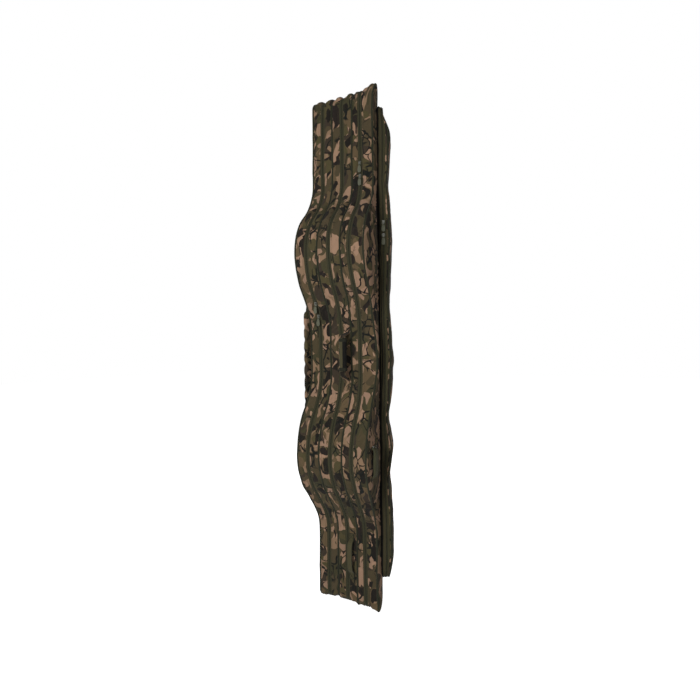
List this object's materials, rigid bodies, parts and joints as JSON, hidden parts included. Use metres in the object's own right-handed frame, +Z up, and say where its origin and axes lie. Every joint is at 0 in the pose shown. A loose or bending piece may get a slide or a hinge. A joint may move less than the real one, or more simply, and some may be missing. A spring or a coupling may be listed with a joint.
{
  "type": "rod holdall",
  "caption": "Upright camouflage fishing rod holdall: padded zipped compartments hinged at one spine, two reel bulges, an outer tube pocket and a carry handle.",
  "frame": {"origin": "middle of the whole bag's box, at floor level, with the bag standing on its butt end", "axes": "+Z up along the rods, zips and carry handle facing -Y, spine facing +Y, outer pocket on the +X side"},
  "size_m": [0.358, 0.2422, 1.9425],
  "materials": {
    "camo_cloth": "water-repellent woven polyester with a printed camouflage pattern, foam backed",
    "binding_tape": "matt woven binding tape",
    "zip_tape": "matt woven zip tape with a coil",
    "webbing": "heavy ribbed webbing",
    "foam": "closed-cell foam in lining cloth",
    "slider_metal": "dark gunmetal coating",
    "tab_rubber": "soft matt moulded rubber",
    "ring_metal": "satin gunmetal",
    "buckle": "matt moulded acetal"
  },
  "bodies": {
    "rear_leaf": {"rear_panel": "camo_cloth", "rear_binding": "binding_tape", "gusset_1_rear": "camo_cloth", "zip_1_rear_tape": "zip_tape", "butt_pad_1": "foam", "rod_straps_1": "webbing", "strap_rings": "ring_metal", "strap_ring_tabs": "webbing"},
    "leaf_1": {"divider_1": "camo_cloth", "divider_1_binding": "binding_tape", "gusset_1_front": "camo_cloth", "zip_1_front_tape": "zip_tape", "gusset_2_rear": "camo_cloth", "zip_2_rear_tape": "zip_tape", "butt_pad_2": "foam", "rod_straps_2": "webbing"},
    "leaf_2": {"divider_2": "camo_cloth", "divider_2_binding": "binding_tape", "gusset_2_front": "camo_cloth", "zip_2_front_tape": "zip_tape", "gusset_3_rear": "camo_cloth", "zip_3_rear_tape": "zip_tape", "butt_pad_3": "foam", "rod_straps_3": "webbing", "carry_handle_anchors": "webbing", "grab_strap": "webbing"},
    "front_leaf": {"front_panel": "camo_cloth", "front_binding": "binding_tape", "gusset_3_front": "camo_cloth", "zip_3_front_tape": "zip_tape", "pocket_base_gusset": "camo_cloth", "pocket_base_tape": "zip_tape", "side_loop": "webbing"},
    "pocket_lid": {"pocket_cover_gusset": "camo_cloth", "pocket_cover_tape": "zip_tape", "pocket_cover": "camo_cloth", "pocket_binding": "binding_tape"},
    "carry_handle": {"carry_handle_webbing": "webbing", "carry_handle_wrap": "camo_cloth"},
    "side_ring": {"side_ring": "ring_metal"},
    "shoulder_strap": {"strap_pad": "camo_cloth", "strap_webbing": "webbing", "strap_adjuster": "buckle", "strap_hooks": "ring_metal"},
    "zip_1_upper_slider": {"zip_1_upper_slider": "slider_metal"},
    "zip_1_upper_tab": {"zip_1_upper_tab": "tab_rubber"},
    "zip_1_lower_slider": {"zip_1_lower_slider": "slider_metal"},
    "zip_1_lower_tab": {"zip_1_lower_tab": "tab_rubber"},
    "zip_2_upper_slider": {"zip_2_upper_slider": "slider_metal"},
    "zip_2_upper_tab": {"zip_2_upper_tab": "tab_rubber"},
    "zip_2_lower_slider": {"zip_2_lower_slider": "slider_metal"},
    "zip_2_lower_tab": {"zip_2_lower_tab": "tab_rubber"},
    "zip_3_upper_slider": {"zip_3_upper_slider": "slider_metal"},
    "zip_3_upper_tab": {"zip_3_upper_tab": "tab_rubber"},
    "zip_3_lower_slider": {"zip_3_lower_slider": "slider_metal"},
    "zip_3_lower_tab": {"zip_3_lower_tab": "tab_rubber"},
    "pocket_zip_upper_slider": {"pocket_zip_upper_slider": "slider_metal"},
    "pocket_zip_upper_tab": {"pocket_zip_upper_tab": "tab_rubber"},
    "pocket_zip_lower_slider": {"pocket_zip_lower_slider": "slider_metal"},
    "pocket_zip_lower_tab": {"pocket_zip_lower_tab": "tab_rubber"}
  },
  "joints": [
    {"name": "compartment_1_open", "type": "hinge", "parent": "rear_leaf", "child": "leaf_1", "pos_m": [-0.05174, 0.10642, 0], "axis": [0, 0, 1], "range_deg": [0, 60]},
    {"name": "compartment_2_open", "type": "hinge", "parent": "leaf_1", "child": "leaf_2", "pos_m": [0.00119, 0.10642, 0], "axis": [0, 0, 1], "range_deg": [0, 60]},
    {"name": "compartment_3_open", "type": "hinge", "parent": "leaf_2", "child": "front_leaf", "pos_m": [0.04881, 0.10642, 0], "axis": [0, 0, 1], "range_deg": [0, 60]},
    {"name": "pocket_open", "type": "hinge", "parent": "front_leaf", "child": "pocket_lid", "pos_m": [0.11759, 0.1088, 0], "axis": [0, 0, 1], "range_deg": [0, 90]},
    {"name": "carry_handle_swing", "type": "hinge", "parent": "leaf_2", "child": "carry_handle", "pos_m": [0.02819, -0.03458, 0.941], "axis": [0, 0, 1], "range_deg": [-22, 22]},
    {"name": "side_ring_swing", "type": "hinge", "parent": "front_leaf", "child": "side_ring", "pos_m": [0.15376, -0.05774, 0.621], "axis": [0.1689, -0.9856, 0], "range_deg": [0, 150]},
    {"name": "shoulder_strap_swing", "type": "hinge", "parent": "rear_leaf", "child": "shoulder_strap", "pos_m": [-0.14747, -0.01266, 0.917], "axis": [0, 0, 1], "range_deg": [-20, 20]},
    {"name": "zip_1_upper_travel", "type": "hinge", "parent": "rear_leaf", "child": "zip_1_upper_slider", "pos_m": [-0.09484, -0.37513, 1.017], "axis": [1, 0, 0], "range_deg": [0, 5]},
    {"name": "zip_1_lower_travel", "type": "hinge", "parent": "rear_leaf", "child": "zip_1_lower_slider", "pos_m": [-0.09282, -0.37513, 1.017], "axis": [1, 0, 0], "range_deg": [-13, 0]},
    {"name": "zip_2_upper_travel", "type": "slide", "parent": "leaf_1", "child": "zip_2_upper_slider", "axis": [0, 0, 1], "range_m": [0, 0.01]},
    {"name": "zip_2_lower_travel", "type": "slide", "parent": "leaf_1", "child": "zip_2_lower_slider", "axis": [0, 0, 1], "range_m": [-0.045, 0]},
    {"name": "zip_3_upper_travel", "type": "slide", "parent": "leaf_2", "child": "zip_3_upper_slider", "axis": [0, 0, 1], "range_m": [0, 0.225]},
    {"name": "zip_3_lower_travel", "type": "hinge", "parent": "leaf_2", "child": "zip_3_lower_slider", "pos_m": [0.08129, -0.2134, 1.617], "axis": [1, 0, 0], "range_deg": [-20, 0]},
    {"name": "pocket_zip_upper_travel", "type": "slide", "parent": "front_leaf", "child": "pocket_zip_upper_slider", "axis": [0, 0, 1], "range_m": [0, 0.36]},
    {"name": "pocket_zip_lower_travel", "type": "slide", "parent": "front_leaf", "child": "pocket_zip_lower_slider", "axis": [0, 0, 1], "range_m": [-1.2, 0]},
    {"name": "zip_1_upper_tab_swing", "type": "hinge", "parent": "zip_1_upper_slider", "child": "zip_1_upper_tab", "pos_m": [-0.09484, -0.06392, 1.1459], "axis": [-1, 0, 0], "range_deg": [0, 105]},
    {"name": "zip_1_lower_tab_swing", "type": "hinge", "parent": "zip_1_lower_slider", "child": "zip_1_lower_tab", "pos_m": [-0.09282, -0.04829, 1.09849], "axis": [-1, 0, 0], "range_deg": [0, 105]},
    {"name": "zip_2_upper_tab_swing", "type": "hinge", "parent": "zip_2_upper_slider", "child": "zip_2_upper_tab", "pos_m": [0.00119, -0.03828, 1], "axis": [-1, 0, 0], "range_deg": [0, 150]},
    {"name": "zip_2_lower_tab_swing", "type": "hinge", "parent": "zip_2_lower_slider", "child": "zip_2_lower_tab", "pos_m": [0.00119, -0.03828, 0.951], "axis": [-1, 0, 0], "range_deg": [0, 150]},
    {"name": "zip_3_upper_tab_swing", "type": "hinge", "parent": "zip_3_upper_slider", "child": "zip_3_upper_tab", "pos_m": [0.08129, -0.01828, 1.67], "axis": [-1, 0, 0], "range_deg": [0, 150]},
    {"name": "zip_3_lower_tab_swing", "type": "hinge", "parent": "zip_3_lower_slider", "child": "zip_3_lower_tab", "pos_m": [0.08129, -0.01828, 1.621], "axis": [-1, 0, 0], "range_deg": [0, 150]},
    {"name": "pocket_zip_upper_tab_swing", "type": "hinge", "parent": "pocket_zip_upper_slider", "child": "pocket_zip_upper_tab", "pos_m": [0.15818, 0.02103, 1.446], "axis": [-0.9063, -0.4226, 0], "range_deg": [0, 150]},
    {"name": "pocket_zip_lower_tab_swing", "type": "hinge", "parent": "pocket_zip_lower_slider", "child": "pocket_zip_lower_tab", "pos_m": [0.15818, 0.02103, 1.397], "axis": [-0.9063, -0.4226, 0], "range_deg": [0, 150]}
  ]
}
